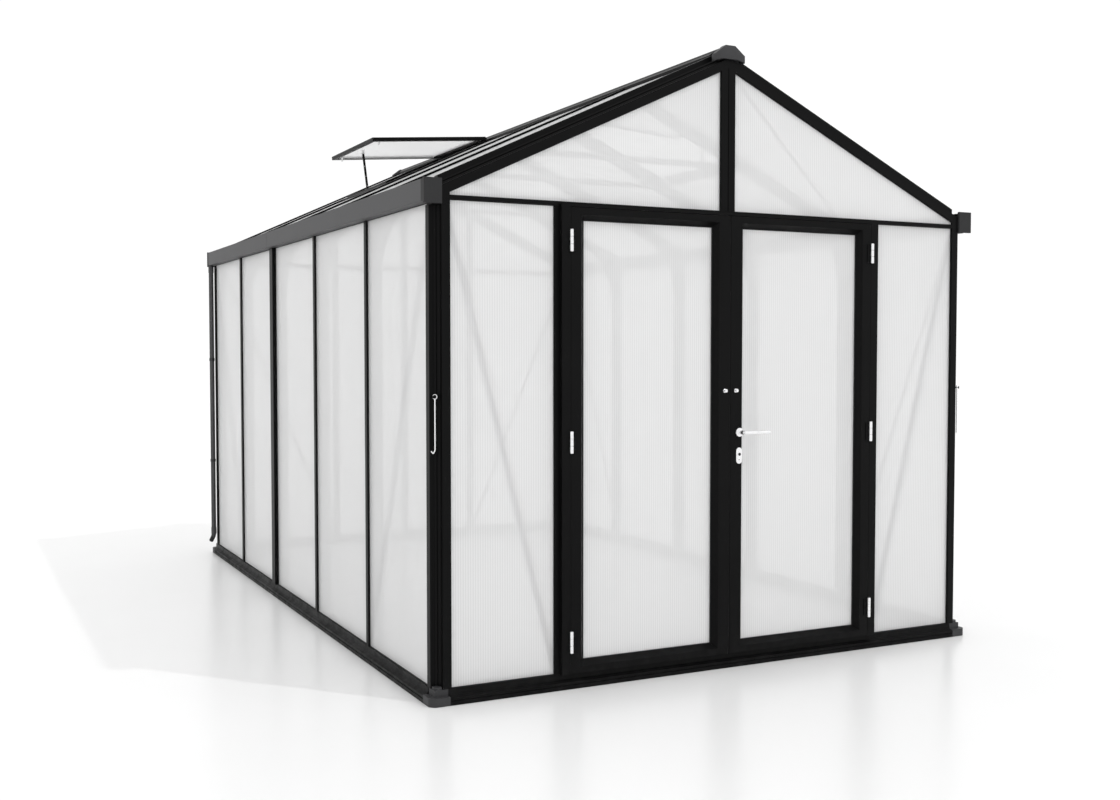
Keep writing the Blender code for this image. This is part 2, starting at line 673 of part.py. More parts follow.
def bay_edges(bay):
    """Where a bay's panes start and stop along the house."""
    start = FRONT + (SLOT_END + 0.001 if bay == 1 else (bay - 1) * BAY + 0.003 + GAP)
    stop = FRONT + (LENGTH - SLOT_END - 0.001 if bay == BAYS else bay * BAY - 0.003 - GAP)
    return start, stop


def side_panes():
    for side, hand in ((-1, "left"), (1, "right")):
        for bay in range(1, BAYS + 1):
            start, stop = bay_edges(bay)
            x_low, x_high = sorted((side * (HALF - PANE_FRONT), side * (HALF - PANE_BACK)))
            pane = box((x_low, start, PANE_FOOT), (x_high, stop, EAVE_Z + 0.009))
            part(pane, f"side_pane_{hand}_{bay}", "pane")


def roof_panes():
    vented = {("left", 4), ("right", 2)}
    for side, hand in ((-1, "left"), (1, "right")):
        for bay in range(1, BAYS + 1):
            start, stop = bay_edges(bay)
            head = RIDGE_HALF + 0.001
            if (hand, bay) in vented:
                head = VENT_AXIS_U + (SILL_S + 0.009) * math.cos(PITCH)
            foot = HALF - 0.0005
            outline = [(head, roof_z(head, PANE_BACK)), (foot, roof_z(foot, PANE_BACK)),
                       (foot, roof_z(foot, PANE_FRONT)), (head, roof_z(head, PANE_FRONT))]
            part(plate(sided(side, outline), start, stop), f"roof_pane_{hand}_{bay}", "pane")


# Doors

def door_frame(panes):
    """Two jambs with a flange for the fixed panes, a stop for the leaves, and a head."""
    foot, top = WALL_FOOT + SEAT, HEADER_Z - SEAT
    section = [(JAMB_IN, -DOOR_PROUD), (JAMB_OUT, -DOOR_PROUD), (JAMB_OUT, 0), (JAMB_FLANGE, 0),
               (JAMB_FLANGE, FLANGE), (JAMB_OUT, FLANGE), (JAMB_OUT, 0.040), (JAMB_IN - 0.018, 0.040),
               (JAMB_IN - 0.018, 0.030), (JAMB_IN, 0.030)]
    jambs = []
    for side in (-1, 1):
        outline = [(side * x, FRONT + q) for x, q in section]
        jambs.append(extrusion(outline, (0, 0, foot), (0, 0, top), (1, 0, 0), (0, 1, 0)))
    under = LEAF_TOP + 0.002
    head = [(-DOOR_PROUD, under), (0.040, under), (0.040, top), (-SEAT, top), (-SEAT, HEADER_Z + 0.006),
            (-DOOR_PROUD, HEADER_Z + 0.006)]
    placed = [(FRONT + q, z) for q, z in head]
    rail = extrusion(placed, (-JAMB_OUT, 0, 0), (JAMB_OUT, 0, 0), (0, 1, 0), (0, 0, 1))
    frame = join(rail, *jambs)
    cut(frame, *panes)
    part(frame, "door_frame", "frame")


def tapered_opening(low, high, front, back):
    """A cutter that is wider at the front face by the bead's width, and straight behind the bead."""
    mesh = bpy.data.meshes.new("opening")
    shape = bmesh.new()
    bmesh.ops.create_cube(shape, size=1)
    middle = ((low[0] + high[0]) / 2, (low[1] + high[1]) / 2)
    width, height = high[0] - low[0], high[1] - low[1]
    for vert in shape.verts:
        at_front = vert.co.y < 0
        extra = BEAD * (1 + 0.002 / (back - front)) if at_front else 0
        depth = front - 0.002 if at_front else back
        vert.co = (middle[0] + math.copysign(width / 2 + extra, vert.co.x), depth,
                   middle[1] + math.copysign(height / 2 + extra, vert.co.z))
    shape.to_mesh(mesh)
    shape.free()
    return put("opening", mesh)


def door_leaf(side):
    """Leaf with beaded members round its pane, three hinges, a hook eye, and the lever's bore."""
    hand = "left" if side < 0 else "right"
    face, back = FRONT - DOOR_PROUD, FRONT + LEAF_BACK
    x_low, x_high = sorted((side * MEETING_GAP, side * LEAF_EDGE))
    frame = box((x_low, face, LEAF_FOOT), (x_high, back, LEAF_TOP))
    glass_in = MEETING_GAP + MEETING_STILE + BEAD
    glass_out = LEAF_EDGE - HINGE_STILE - BEAD
    low_x, high_x = sorted((side * glass_in, side * glass_out))
    low_z, high_z = LEAF_FOOT + LEAF_RAIL + BEAD, LEAF_TOP - LEAF_RAIL - BEAD
    taper = tapered_opening((low_x, low_z), (high_x, high_z), face, FRONT + 0.006)
    through = box((low_x, FRONT - 0.001, low_z), (high_x, back + 0.01, high_z))
    hold = 0.012
    pane_low, pane_high = FRONT + 0.007, FRONT + 0.017
    space = box((low_x - hold, pane_low - GAP, low_z - hold), (high_x + hold, pane_high + GAP, high_z + hold))
    cut(frame, taper, through, space)
    trim = hold - GAP
    pane = box((low_x - trim, pane_low, low_z - trim), (high_x + trim, pane_high, high_z + trim))
    part(pane, f"door_pane_{hand}", "pane")
    pivot_x, pivot_y = side * PIVOT_X, FRONT - PIVOT_OUT
    for z in HINGE_HEIGHTS:
        low, high = z - HINGE_LENGTH / 2, z + HINGE_LENGTH / 2
        barrel = cylinder(HINGE_R, (pivot_x, pivot_y, low), (pivot_x, pivot_y, high), 16)
        leaf_x = sorted((side * (PIVOT_X - 0.024), side * (PIVOT_X - 0.003)))
        flap = box((leaf_x[0], face - 0.003, low + 0.004), (leaf_x[1], face + 0.001, high - 0.004))
        join(frame, barrel, flap)
    eye_x = side * (MEETING_GAP + 0.026)
    join(frame, cylinder(0.0035, (eye_x, face + 0.004, EYE_Z), (eye_x, face - 0.012, EYE_Z), 12))
    if side > 0:
        ends = ((HANDLE_X, face - 0.01, HANDLE_Z), (HANDLE_X, back + 0.01, HANDLE_Z))
        cut(frame, cylinder(LEVER_R + 0.001, *ends, 20))
    part(frame, f"door_leaf_{hand}", "frame")


def lever_handle():
    """Inner and outer levers on one spindle, each with its round rose."""
    tip = HANDLE_X + LEVER_LENGTH
    reach = HANDLE_REACH
    inside, outside = FRONT + reach - 0.004, FRONT - reach
    path = [(tip, inside, HANDLE_Z), (HANDLE_X, inside, HANDLE_Z),
            (HANDLE_X, outside, HANDLE_Z), (tip, outside, HANDLE_Z)]
    bar = tube(path, LEVER_R, smooth_bends=0.018)
    face, back = FRONT - DOOR_PROUD, FRONT + LEAF_BACK
    roses = [cylinder(0.019, (HANDLE_X, face - SEAT, HANDLE_Z), (HANDLE_X, face - 0.008, HANDLE_Z), 24),
             cylinder(0.019, (HANDLE_X, back + SEAT, HANDLE_Z), (HANDLE_X, back + 0.008, HANDLE_Z), 24)]
    lever = part(join(bar, *roses), "lever_handle", "steel")
    move_origin(lever, (HANDLE_X, FRONT, HANDLE_Z))


def lock_plate():
    """Oval key plate with a round lock barrel and its keyhole."""
    half_width, half_height, steps = 0.015, 0.035, 8
    outline = []
    for centre, start in ((half_height - half_width, 0), (half_width - half_height, math.pi)):
        for step in range(steps + 1):
            angle = start + math.pi * step / steps
            outline.append((HANDLE_X + half_width * math.cos(angle),
                            LOCK_Z + centre + half_width * math.sin(angle)))
    face = FRONT - DOOR_PROUD
    oval = plate(outline, face - 0.004, face - SEAT)
    barrel_z = LOCK_Z + 0.006
    barrel = cylinder(0.0085, (HANDLE_X, face - 0.007, barrel_z), (HANDLE_X, face - 0.002, barrel_z), 24)
    key = box((HANDLE_X - 0.001, face - 0.010, LOCK_Z), (HANDLE_X + 0.001, face - 0.005, LOCK_Z + 0.012))
    part(cut(join(oval, barrel), key), "lock_plate", "steel")


def wind_hook(side):
    """A bent rod that hangs by its eye from the corner post and holds an open leaf."""
    pivot = hook_pivot(side)
    sideways = Vector((-side, -1, 0)).normalized()
    drop = Vector((0, 0, -1))
    toe = pivot + drop * HOOK_LENGTH - sideways * 0.008
    path = [pivot + drop * (HOOK_RING + 0.0007), pivot + drop * (HOOK_LENGTH - 0.014),
            toe, toe - drop * 0.010 - sideways * 0.008]
    rod = tube(path, HOOK_R, smooth_bends=0.005)
    facing = Vector((side, -1, 0)).to_track_quat("Z", "Y").to_euler()
    bpy.ops.mesh.primitive_torus_add(location=pivot, rotation=facing, major_segments=16, minor_segments=8,
                                     major_radius=HOOK_RING, minor_radius=HOOK_R)
    ring = bpy.context.object
    bpy.context.view_layer.update()
    ring.data.shade_smooth()
    eye = put("eye", ring.data, ring.matrix_world.copy())
    bpy.data.objects.remove(ring, do_unlink=True)
    hook = part(join(eye, rod), "wind_hook_left" if side < 0 else "wind_hook_right", "steel")
    move_origin(hook, pivot)


# Roof vents

def vent_axis(side, bay):
    """The middle of a vent's hinge line."""
    u = VENT_AXIS_U
    return Vector((side * u, FRONT + (bay - 0.5) * BAY, roof_z(u, -VENT_AXIS_OUT)))


def vent_point(side, bay, s, depth):
    """A point of the open vent: distance down the panel, and depth below its hinge axis."""
    angle = PITCH - VENT_OPEN
    axis = vent_axis(side, bay)
    return (axis.x + side * (s * math.cos(angle) - depth * math.sin(angle)),
            axis.z - s * math.sin(angle) - depth * math.cos(angle))


def vent(side, bay, name):
    """Roof vent, standing open: a rebated frame with its pane, hinge roll, bump knobs and stay lugs."""
    axis = vent_axis(side, bay)
    half = VENT_WIDTH / 2
    under = VENT_AXIS_OUT - VENT_CLEAR
    over = under - VENT_THICK

    def slab(s_low, s_high, d_low, d_high, y_low, y_high):
        corners = [vent_point(side, bay, s, d) for s, d in
                   ((s_low, d_low), (s_high, d_low), (s_high, d_high), (s_low, d_high))]
        return plate(corners if side < 0 else corners[::-1], axis.y + y_low, axis.y + y_high)

    panel = slab(0.002, VENT_LENGTH, over, under, -half, half)
    inside = (VENT_RAIL, VENT_LENGTH - VENT_EDGE)
    cut(panel, slab(*inside, over + 0.011, under + 0.01, VENT_RAIL - half, half - VENT_RAIL))
    cut(panel, slab(*inside, over - 0.01, over + 0.0015, VENT_RAIL - half, half - VENT_RAIL))
    x, z = vent_point(side, bay, 0, 0)
    join(panel, cylinder(0.006, (x, axis.y - half, z), (x, axis.y + half, z), 16))
    root_x, root_z = vent_point(side, bay, KNOB_S, over + 0.006)
    tip_x, tip_z = vent_point(side, bay, KNOB_S, KNOB_TIP)
    for y in (axis.y + KNOB_IN - half, axis.y + half - KNOB_IN):
        join(panel, cylinder(0.006, (root_x, y, root_z), (tip_x, y, tip_z), 12))
    for y in (-0.0075, 0.0045):
        join(panel, slab(STAY_S - 0.008, STAY_S + 0.008, over + 0.008, STAY_DROP + 0.006, y, y + 0.003))
    pin_x, pin_z = vent_point(side, bay, STAY_S, STAY_DROP)
    join(panel, cylinder(0.0025, (pin_x, axis.y - 0.006, pin_z), (pin_x, axis.y + 0.006, pin_z), 12))
    move_origin(panel, axis)
    part(panel, name, "frame")


def vent_stay(side, bay, name):
    """Flat prop under a vent, hung from the vent's lugs."""
    axis = vent_axis(side, bay)
    pin_x, pin_z = vent_point(side, bay, STAY_S, STAY_DROP)
    half, steps = 0.0065, 6
    lean = -side * STAY_LEAN

    def turned(a, b):
        """A point of the upright bar, measured from its pivot, leaning with the bar."""
        return (pin_x + a * math.cos(lean) - b * math.sin(lean),
                pin_z + a * math.sin(lean) + b * math.cos(lean))

    outline = []
    for centre, start in ((0, 0), (-STAY_LENGTH, math.pi)):
        for step in range(steps + 1):
            angle = start + math.pi * step / steps
            outline.append(turned(half * math.cos(angle), centre + half * math.sin(angle)))
    bar = plate(outline, axis.y - 0.003, axis.y + 0.003)
    cut(bar, cylinder(0.0035, (pin_x, axis.y - 0.02, pin_z), (pin_x, axis.y + 0.02, pin_z), 14))
    for drop in (0.08, 0.14, 0.20):
        x, z = turned(0, -drop)
        cut(bar, cylinder(0.0025, (x, axis.y - 0.02, z), (x, axis.y + 0.02, z), 10))
    move_origin(bar, (pin_x, axis.y, pin_z))
    part(bar, name, "frame")


def build():
    base_rails()
    for end, y, out in (("front", FRONT, -1), ("rear", REAR, 1)):
        for side, hand in ((-1, "left"), (1, "right")):
            base_corner(f"base_corner_{end}_{hand}", side, y, out)
    corner_posts()
    for side in (-1, 1):
        gutter(side)
    ridge_beam()
    portals()
    front_spaces, rear_spaces = end_panes()
    front_gable(front_spaces)
    door_frame(front_spaces)
    rear_frame(rear_spaces)
    side_panes()
    roof_panes()
    for side in (-1, 1):
        door_leaf(side)
        wind_hook(side)
    lever_handle()
    lock_plate()
    vent(-1, 4, "roof_vent_left")
    vent(1, 2, "roof_vent_right")
    vent_stay(-1, 4, "vent_stay_left")
    vent_stay(1, 2, "vent_stay_right")


build()
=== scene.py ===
"""Looks of the walk-in greenhouse: finishes, braces, seals, hinges, small fittings, light and camera.

Metres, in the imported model's own frame: +Z up, the door end faces -Y.
"""
import json
import math

import bmesh
import bpy
from mathutils import Matrix, Vector


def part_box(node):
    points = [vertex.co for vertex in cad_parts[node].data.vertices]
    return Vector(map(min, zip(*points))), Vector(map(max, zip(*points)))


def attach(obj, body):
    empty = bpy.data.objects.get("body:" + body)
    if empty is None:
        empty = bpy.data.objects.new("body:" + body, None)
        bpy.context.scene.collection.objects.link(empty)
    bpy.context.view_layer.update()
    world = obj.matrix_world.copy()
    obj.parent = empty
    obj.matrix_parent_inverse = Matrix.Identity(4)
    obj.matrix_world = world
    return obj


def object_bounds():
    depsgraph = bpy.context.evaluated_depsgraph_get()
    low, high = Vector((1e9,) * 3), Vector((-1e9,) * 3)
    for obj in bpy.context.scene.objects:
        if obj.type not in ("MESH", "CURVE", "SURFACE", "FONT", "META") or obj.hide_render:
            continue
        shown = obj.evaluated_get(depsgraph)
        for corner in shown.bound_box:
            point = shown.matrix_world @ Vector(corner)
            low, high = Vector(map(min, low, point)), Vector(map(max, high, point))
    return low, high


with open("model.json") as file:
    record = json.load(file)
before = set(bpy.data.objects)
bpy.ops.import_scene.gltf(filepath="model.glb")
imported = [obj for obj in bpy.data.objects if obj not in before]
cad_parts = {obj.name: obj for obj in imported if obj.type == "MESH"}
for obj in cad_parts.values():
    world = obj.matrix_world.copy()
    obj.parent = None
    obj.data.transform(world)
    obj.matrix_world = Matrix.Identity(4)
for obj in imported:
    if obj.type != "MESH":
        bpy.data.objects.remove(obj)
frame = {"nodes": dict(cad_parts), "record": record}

CAD_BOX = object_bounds()

# Planes read from the frame
PANE_DEPTH = 0.0098         # outer face of a pane behind its wall's outer plane
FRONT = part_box("front_pane_left")[0].y - PANE_DEPTH
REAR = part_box("rear_pane_1")[1].y + PANE_DEPTH
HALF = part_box("side_pane_right_1")[1].x + PANE_DEPTH
BAYS = 5
BAY = (REAR - FRONT) / BAYS
FASCIA_HEIGHT = 0.089
EAVE_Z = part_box("gutter_left")[1].z - FASCIA_HEIGHT
LEAF_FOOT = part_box("door_leaf_left")[0].z
LEAF_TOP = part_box("door_leaf_left")[1].z
SIDES = ((-1, "left"), (1, "right"))

# House: sizes shared with the frame's sections
PITCH = math.radians(25)
RIDGE_Z = 2.657             # where the two roof planes meet
WALL_FOOT = 0.060           # top of the base rails
HEADER_FOOT = 1.9515
HEADER_TOP = 1.966
CORNER_BAR = 0.073          # reach of a corner section over the panes
BAR_HALF = 0.015            # half the width of an arch's cap
JOINT_BAR = 3               # the arch with the wide cover, where two lengths meet
JOINT_BAR_HALF = 0.0325
DOOR_POST_EDGE = 0.828
GABLE_POST_HALF = 0.035
BASE_OUT = 0.023            # how far the base and the fascia stand out from the walls
FASCIA_OUT = 0.035
PIPE_IN = (0.0175, 0.0225)  # downpipe's middle: out from the side wall, in from the rear wall
PIPE_R = 0.0155

# Doors
DOOR_PROUD = 0.023          # leaves' faces in front of the wall plane
DOOR_BEAD = 0.0112          # hidden edge of a leaf's pane
PIVOT = Vector((0.768, FRONT - 0.030, 0))
HINGE_HEIGHTS = (0.193, 1.003, 1.812)
HINGE_LENGTH = 0.088
HINGE_FLAP = 0.003          # thickness of a flap, and how far its screws are from the pivot
HINGE_SCREW_IN = 0.0150
LOCK = Vector((0.046, FRONT - DOOR_PROUD, 0.919))
LOCK_THICK = 0.004
EYE = Vector((0.0282, FRONT - DOOR_PROUD, 1.200))
MEETING_GAP = 0.0022

# Vents
VENT_AXIS = 0.056           # hinge line's distance from the ridge, and its height over the roof
VENT_AXIS_OUT = 0.012
VENT_OPEN = math.radians(20.3)
VENT_LENGTH = 0.712
VENT_RAIL = 0.030           # width of the head and sides, and of the free edge
VENT_EDGE = 0.020
VENT_DROP = 0.12            # the vent's skin lies no lower than this under its top
VENT_FACE = 0.0104          # outer face over the hinge line


# Shader building

class Shade:
    """A shader socket on which Python arithmetic adds Math nodes."""

    def __init__(self, finish, socket):
        self.finish = finish
        self.socket = socket

    def __add__(self, other):
        return self.finish.math("ADD", self, other)

    def __sub__(self, other):
        return self.finish.math("SUBTRACT", self, other)

    def __rsub__(self, other):
        return self.finish.math("SUBTRACT", other, self)

    def __mul__(self, other):
        return self.finish.math("MULTIPLY", self, other)

    __radd__ = __add__
    __rmul__ = __mul__


class Finish:
    """A material and the nodes that make it."""

    def __init__(self, name):
        self.material = bpy.data.materials.new(name)
        self.material.use_nodes = True
        self.tree = self.material.node_tree
        self.tree.nodes.clear()

    def node(self, kind, settings=None, values=None, output=0):
        """Add a node: its type, its settings, then the values or links of its sockets."""
        made = self.tree.nodes.new(kind)
        for key, value in (settings or {}).items():
            setattr(made, key, value)
        for key, value in (values or {}).items():
            if isinstance(value, Shade):
                self.tree.links.new(value.socket, made.inputs[key])
            else:
                made.inputs[key].default_value = value
        return Shade(self, made.outputs[output])

    def math(self, operation, *values):
        return self.node("ShaderNodeMath", {"operation": operation}, dict(enumerate(values)))

    def place(self):
        """A point of the surface in the piece's own space, which is the model's frame at rest."""
        return self.node("ShaderNodeTexCoord", output="Object")

    def along(self, axis):
        return self.node("ShaderNodeSeparateXYZ", values={0: self.place()}, output=axis)

    def within(self, value, low, high):
        """1 where a value lies between two limits."""
        return self.math("GREATER_THAN", value, low) * self.math("LESS_THAN", value, high)

    def noise(self, scale, detail=2.0, stretch=(1, 1, 1)):
        where = self.node("ShaderNodeVectorMath", {"operation": "MULTIPLY"}, {0: self.place(), 1: stretch})
        return self.node("ShaderNodeTexNoise", values={"Vector": where, "Scale": scale, "Detail": detail})

    def ramp(self, value, low, high):
        """0 below low, 1 above high, and smooth between."""
        settings = {"interpolation_type": "SMOOTHSTEP"}
        return self.node("ShaderNodeMapRange", settings, {"Value": value, "From Min": low, "From Max": high})

    def mix(self, share, one, two):
        """A colour between two, each of them three numbers or another mix."""
        one, two = (value if isinstance(value, Shade) else (*value, 1) for value in (one, two))
        return self.node("ShaderNodeMix", {"data_type": "RGBA"}, {0: share, 6: one, 7: two}, output=2)

    def bump(self, height, strength, distance):
        values = {"Height": height, "Strength": strength, "Distance": distance}
        return self.node("ShaderNodeBump", values=values)

    def principled(self, values):
        return self.node("ShaderNodeBsdfPrincipled", values=values)

    def blend(self, share, one, two):
        """A surface between two surfaces."""
        return self.node("ShaderNodeMixShader", values={0: share, 1: one, 2: two})

    def done(self, surface):
        end = self.tree.nodes.new("ShaderNodeOutputMaterial")
        self.tree.links.new(surface.socket, end.inputs["Surface"])
        return self.material


def shaded(colour, factor, extra=0.0):
    return [channel * factor + extra for channel in colour]


# Finishes

BLACK_COLOUR = (0.0032, 0.0032, 0.0033)
GUTTER_COLOUR = (0.085, 0.085, 0.087)
END_CAP_COLOUR = (0.034, 0.034, 0.035)
BRACE_COLOUR = (0.380, 0.380, 0.385)
PLASTIC_COLOUR = (0.040, 0.040, 0.042)
END_CAP_LENGTH = 0.028      # how far a gutter's end cap reaches along it
DUST_HEIGHT = 0.22          # dust lies below this
WEB_PITCH = 0.0105          # spacing of the webs inside a twin-wall pane
CLEAR = 0.36                # share of a pane that is seen through


def powder_coat(finish, colour, roughness, speckle):
    """Sprayed coat on aluminium: fine orange peel, a little uneven gloss, and dust towards the ground."""
    peel = finish.noise(900, 2)
    broad = finish.noise(4, 3)
    patches = finish.ramp(finish.noise(24, 4), 0.35, 0.75)
    dust = (1 - finish.ramp(finish.along("Z"), 0.0, DUST_HEIGHT)) * patches
    tone = finish.mix(broad, shaded(colour, 1 - speckle), shaded(colour, 1 + speckle, 0.0008))
    return finish.principled({
        "Base Color": finish.mix(dust * 0.35, tone, shaded(colour, 1, 0.016)),
        "Roughness": roughness - 0.05 + broad * 0.10 + dust * 0.2,
        "Specular IOR Level": 0.08,
        "Normal": finish.bump(peel, 0.12, 0.0004)})


def coated(name, colour, roughness, speckle):
    finish = Finish(name)
    return finish.done(powder_coat(finish, colour, roughness, speckle))


def moulded_plastic(name, colour):
    """Fine-grained moulded plastic."""
    finish = Finish(name)
    grain = finish.noise(1400, 3)
    broad = finish.noise(9, 2)
    return finish.done(finish.principled({
        "Base Color": finish.mix(broad, shaded(colour, 0.85), shaded(colour, 1.15)),
        "Roughness": 0.46 + broad * 0.12,
        "Specular IOR Level": 0.25,
        "Normal": finish.bump(grain, 0.25, 0.0003)}))


def twin_wall(finish, axis):
    """Milky twin-wall sheet: webs across one axis, light that passes through, and a faint view through it."""
    turns = finish.along(axis) * (2 * math.pi / WEB_PITCH)
    web = finish.math("COSINE", turns) * 0.5 + 0.5
    web = finish.math("POWER", web, 3.0)
    haze = finish.noise(2.2, 3)
    skin = finish.principled({
        "Base Color": finish.mix(web * 0.55 + haze * 0.25, (0.985, 0.985, 0.985), (0.945, 0.947, 0.950)),
        "Roughness": 0.26 + haze * 0.10,
        "Specular IOR Level": 0.3,
        "Normal": finish.bump(web, 0.12, 0.0006)})
    glow = finish.node("ShaderNodeBsdfTranslucent", values={"Color": (0.985, 0.985, 0.985, 1)})
    gap = finish.node("ShaderNodeBsdfTransparent", values={"Color": (1, 1, 1, 1)})
    view = CLEAR - web * 0.10 - haze * 0.05
    return finish.blend(view, finish.blend(0.52, skin, glow), gap)


def glazed(name, axis):
    finish = Finish(name)
    return finish.done(twin_wall(finish, axis))


def gutter_finish():
    """Grey coat on the fascia and a darker cap at each end."""
    finish = Finish("gutter_finish")
    place = finish.along("Y")
    cap = finish.math("LESS_THAN", place, FRONT + END_CAP_LENGTH)
    cap = cap + finish.math("GREATER_THAN", place, REAR - END_CAP_LENGTH)
    fascia = powder_coat(finish, GUTTER_COLOUR, 0.48, 0.06)
    end = powder_coat(finish, END_CAP_COLOUR, 0.50, 0.06)
    return finish.done(finish.blend(cap, fascia, end))


def vent_finish(name, side):
    """Coated frame with its milky pane, told apart by place."""
    low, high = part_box(name)
    level = math.cos(PITCH - VENT_OPEN)
    finish = Finish(name.replace("roof_vent", "vent_finish"))
    reach = finish.along("X") * side
    pane = finish.within(reach, VENT_AXIS + VENT_RAIL * level, VENT_AXIS + (VENT_LENGTH - VENT_EDGE) * level)
    pane = pane * finish.within(finish.along("Y"), low.y + VENT_RAIL, high.y - VENT_RAIL)
    pane = pane * finish.math("GREATER_THAN", finish.along("Z"), high.z - VENT_DROP)
    frame_coat = powder_coat(finish, BLACK_COLOUR, 0.40, 0.25)
    return finish.done(finish.blend(pane, frame_coat, twin_wall(finish, "Y")))


def bright_steel(name, grain_along):
    """Satin stainless steel, brushed along one direction."""
    finish = Finish(name)
    stretch = [40 if axis == grain_along else 1800 for axis in "XYZ"]
    hair = finish.noise(1.0, 3, stretch)
    cloud = finish.noise(30, 2)
    return finish.done(finish.principled({
        "Base Color": finish.mix(cloud, (0.82, 0.82, 0.83), (0.95, 0.95, 0.955)),
        "Metallic": 1.0,
        "Roughness": 0.18 + hair * 0.16,
        "Normal": finish.bump(hair, 0.08, 0.0002)}))


def seal_rubber(name):
    """Matt black rubber."""
    finish = Finish(name)
    grain = finish.noise(700, 3)
    return finish.done(finish.principled({
        "Base Color": finish.mix(grain, (0.006, 0.006, 0.006), (0.016, 0.016, 0.017)),
        "Roughness": 0.62 + grain * 0.2,
        "Normal": finish.bump(grain, 0.3, 0.0003)}))


def studio_floor(name):
    """Smooth pale floor with a faint satin reflection."""
    finish = Finish(name)
    cloud = finish.noise(0.7, 3)
    return finish.done(finish.principled({
        "Base Color": finish.mix(cloud, (0.93, 0.93, 0.93), (0.95, 0.95, 0.95)),
        "Roughness": 0.22 + cloud * 0.06,
        "Specular IOR Level": 0.30}))


BLACK = coated("black_powder_coat", BLACK_COLOUR, 0.40, 0.25)
GUTTER_GREY = coated("grey_powder_coat", GUTTER_COLOUR, 0.48, 0.06)
BRACE_GREY = coated("brace_grey", BRACE_COLOUR, 0.50, 0.06)
CORNER_PLASTIC = moulded_plastic("corner_plastic", PLASTIC_COLOUR)
PANE_ACROSS_X = glazed("twin_wall_across_x", "X")
PANE_ACROSS_Y = glazed("twin_wall_across_y", "Y")
STEEL_UPRIGHT = bright_steel("steel_upright_grain", "Z")
STEEL_LEVEL = bright_steel("steel_level_grain", "X")
RUBBER = seal_rubber("seal_rubber")


def dress_frame():
    """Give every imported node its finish."""
    slots = {item["node"]: item["material_slot"] for item in frame["record"]["subparts"]}
    by_slot = {"black_aluminium": BLACK, "gutter_grey": gutter_finish(), "corner_plastic": CORNER_PLASTIC,
               "twin_wall_pane": PANE_ACROSS_X, "bright_steel": STEEL_UPRIGHT}
    by_name = {"lever_handle": STEEL_LEVEL}
    for side, hand in SIDES:
        by_name[f"roof_vent_{hand}"] = vent_finish(f"roof_vent_{hand}", side)
    for name, node in frame["nodes"].items():
        finish = by_name.get(name, by_slot[slots[name]])
        if name.startswith(("side_pane", "roof_pane")):
            finish = PANE_ACROSS_Y
        node.data.materials.clear()
        node.data.materials.append(finish)


# Mesh building: each function adds a closed form to a bmesh

def prism(shape, outline, place, across, up, depth):
    """A flat plate: an outline of (across, up) points at place, as thick as depth along across x up."""
    across, up = Vector(across).normalized(), Vector(up).normalized()
    out = across.cross(up) * depth
    base = [Vector(place) + across * a + up * b for a, b in outline]
    back = [shape.verts.new(point) for point in base]
    front = [shape.verts.new(point + out) for point in base]
    shape.faces.new(back[::-1])
    shape.faces.new(front)
    for k in range(len(base)):
        following = (k + 1) % len(base)
        shape.faces.new((back[k], back[following], front[following], front[k]))


def block(shape, low, high, rounding):
    """A box with rounded edges."""
    fresh = bmesh.ops.create_cube(shape, size=1)["verts"]
    low, high = Vector(low), Vector(high)
    middle, size = (low + high) / 2, high - low
    bmesh.ops.transform(shape, matrix=Matrix.Translation(middle) @ Matrix.Diagonal((*size, 1)), verts=fresh)
    edges = list({edge for vert in fresh for edge in vert.link_edges})
    bmesh.ops.bevel(shape, geom=edges, offset=rounding, segments=2, affect="EDGES", profile=0.5)


def turned(shape, profile, foot, axis, sides=24):
    """A turned form: (radius, distance along the axis) points from its foot to its top."""
    axis = Vector(axis).normalized()
    one = axis.orthogonal().normalized()
    two = axis.cross(one)
    angles = [2 * math.pi * k / sides for k in range(sides)]
    spokes = [one * math.cos(angle) + two * math.sin(angle) for angle in angles]
    rings = []
    for radius, height in profile:
        centre = Vector(foot) + axis * height
        rings.append([shape.verts.new(centre + spoke * radius) for spoke in spokes])
    shape.faces.new(rings[0][::-1])
    shape.faces.new(rings[-1])
    for ring, following in zip(rings, rings[1:]):
        for k in range(sides):
            other = (k + 1) % sides
            shape.faces.new((ring[k], ring[other], following[other], following[k]))


def pan_head(shape, place, out, radius):
    """A domed screw head with a round recess."""
    dome = [(1, 0), (1, 0.25), (0.85, 0.55), (0.55, 0.72), (0.50, 0.72), (0.42, 0.35)]
    turned(shape, [(radius * r, radius * h) for r, h in dome], place, out, 20)


def hex_bolt(shape, place, out, size):
    """A hexagon head on a round washer."""
    out = Vector(out).normalized()
    washer = 0.0016
    turned(shape, [(size * 1.25, 0), (size * 1.25, 0.0012), (size * 1.15, washer)], place, out)
    head = [(size * 0.96, 0), (size * 0.96, 0.0042), (size * 0.86, 0.0050)]
    turned(shape, head, Vector(place) + out * washer, out, 6)


def rounded_bar(shape, start, end, out, width, thickness):
    """A flat bar with half-round ends, lying in the plane that faces out."""
    start, end, out = Vector(start), Vector(end), Vector(out).normalized()
    along = (end - start).normalized()
    up = out.cross(along)
    half, length, steps = width / 2, (end - start).length, 8
    turns = [math.pi * (k / steps - 0.5) for k in range(steps + 1)]
    outline = [(length + half * math.cos(a), half * math.sin(a)) for a in turns]
    outline += [(-half * math.cos(a), -half * math.sin(a)) for a in turns]
    prism(shape, outline, start - out * thickness / 2, along, up, thickness)


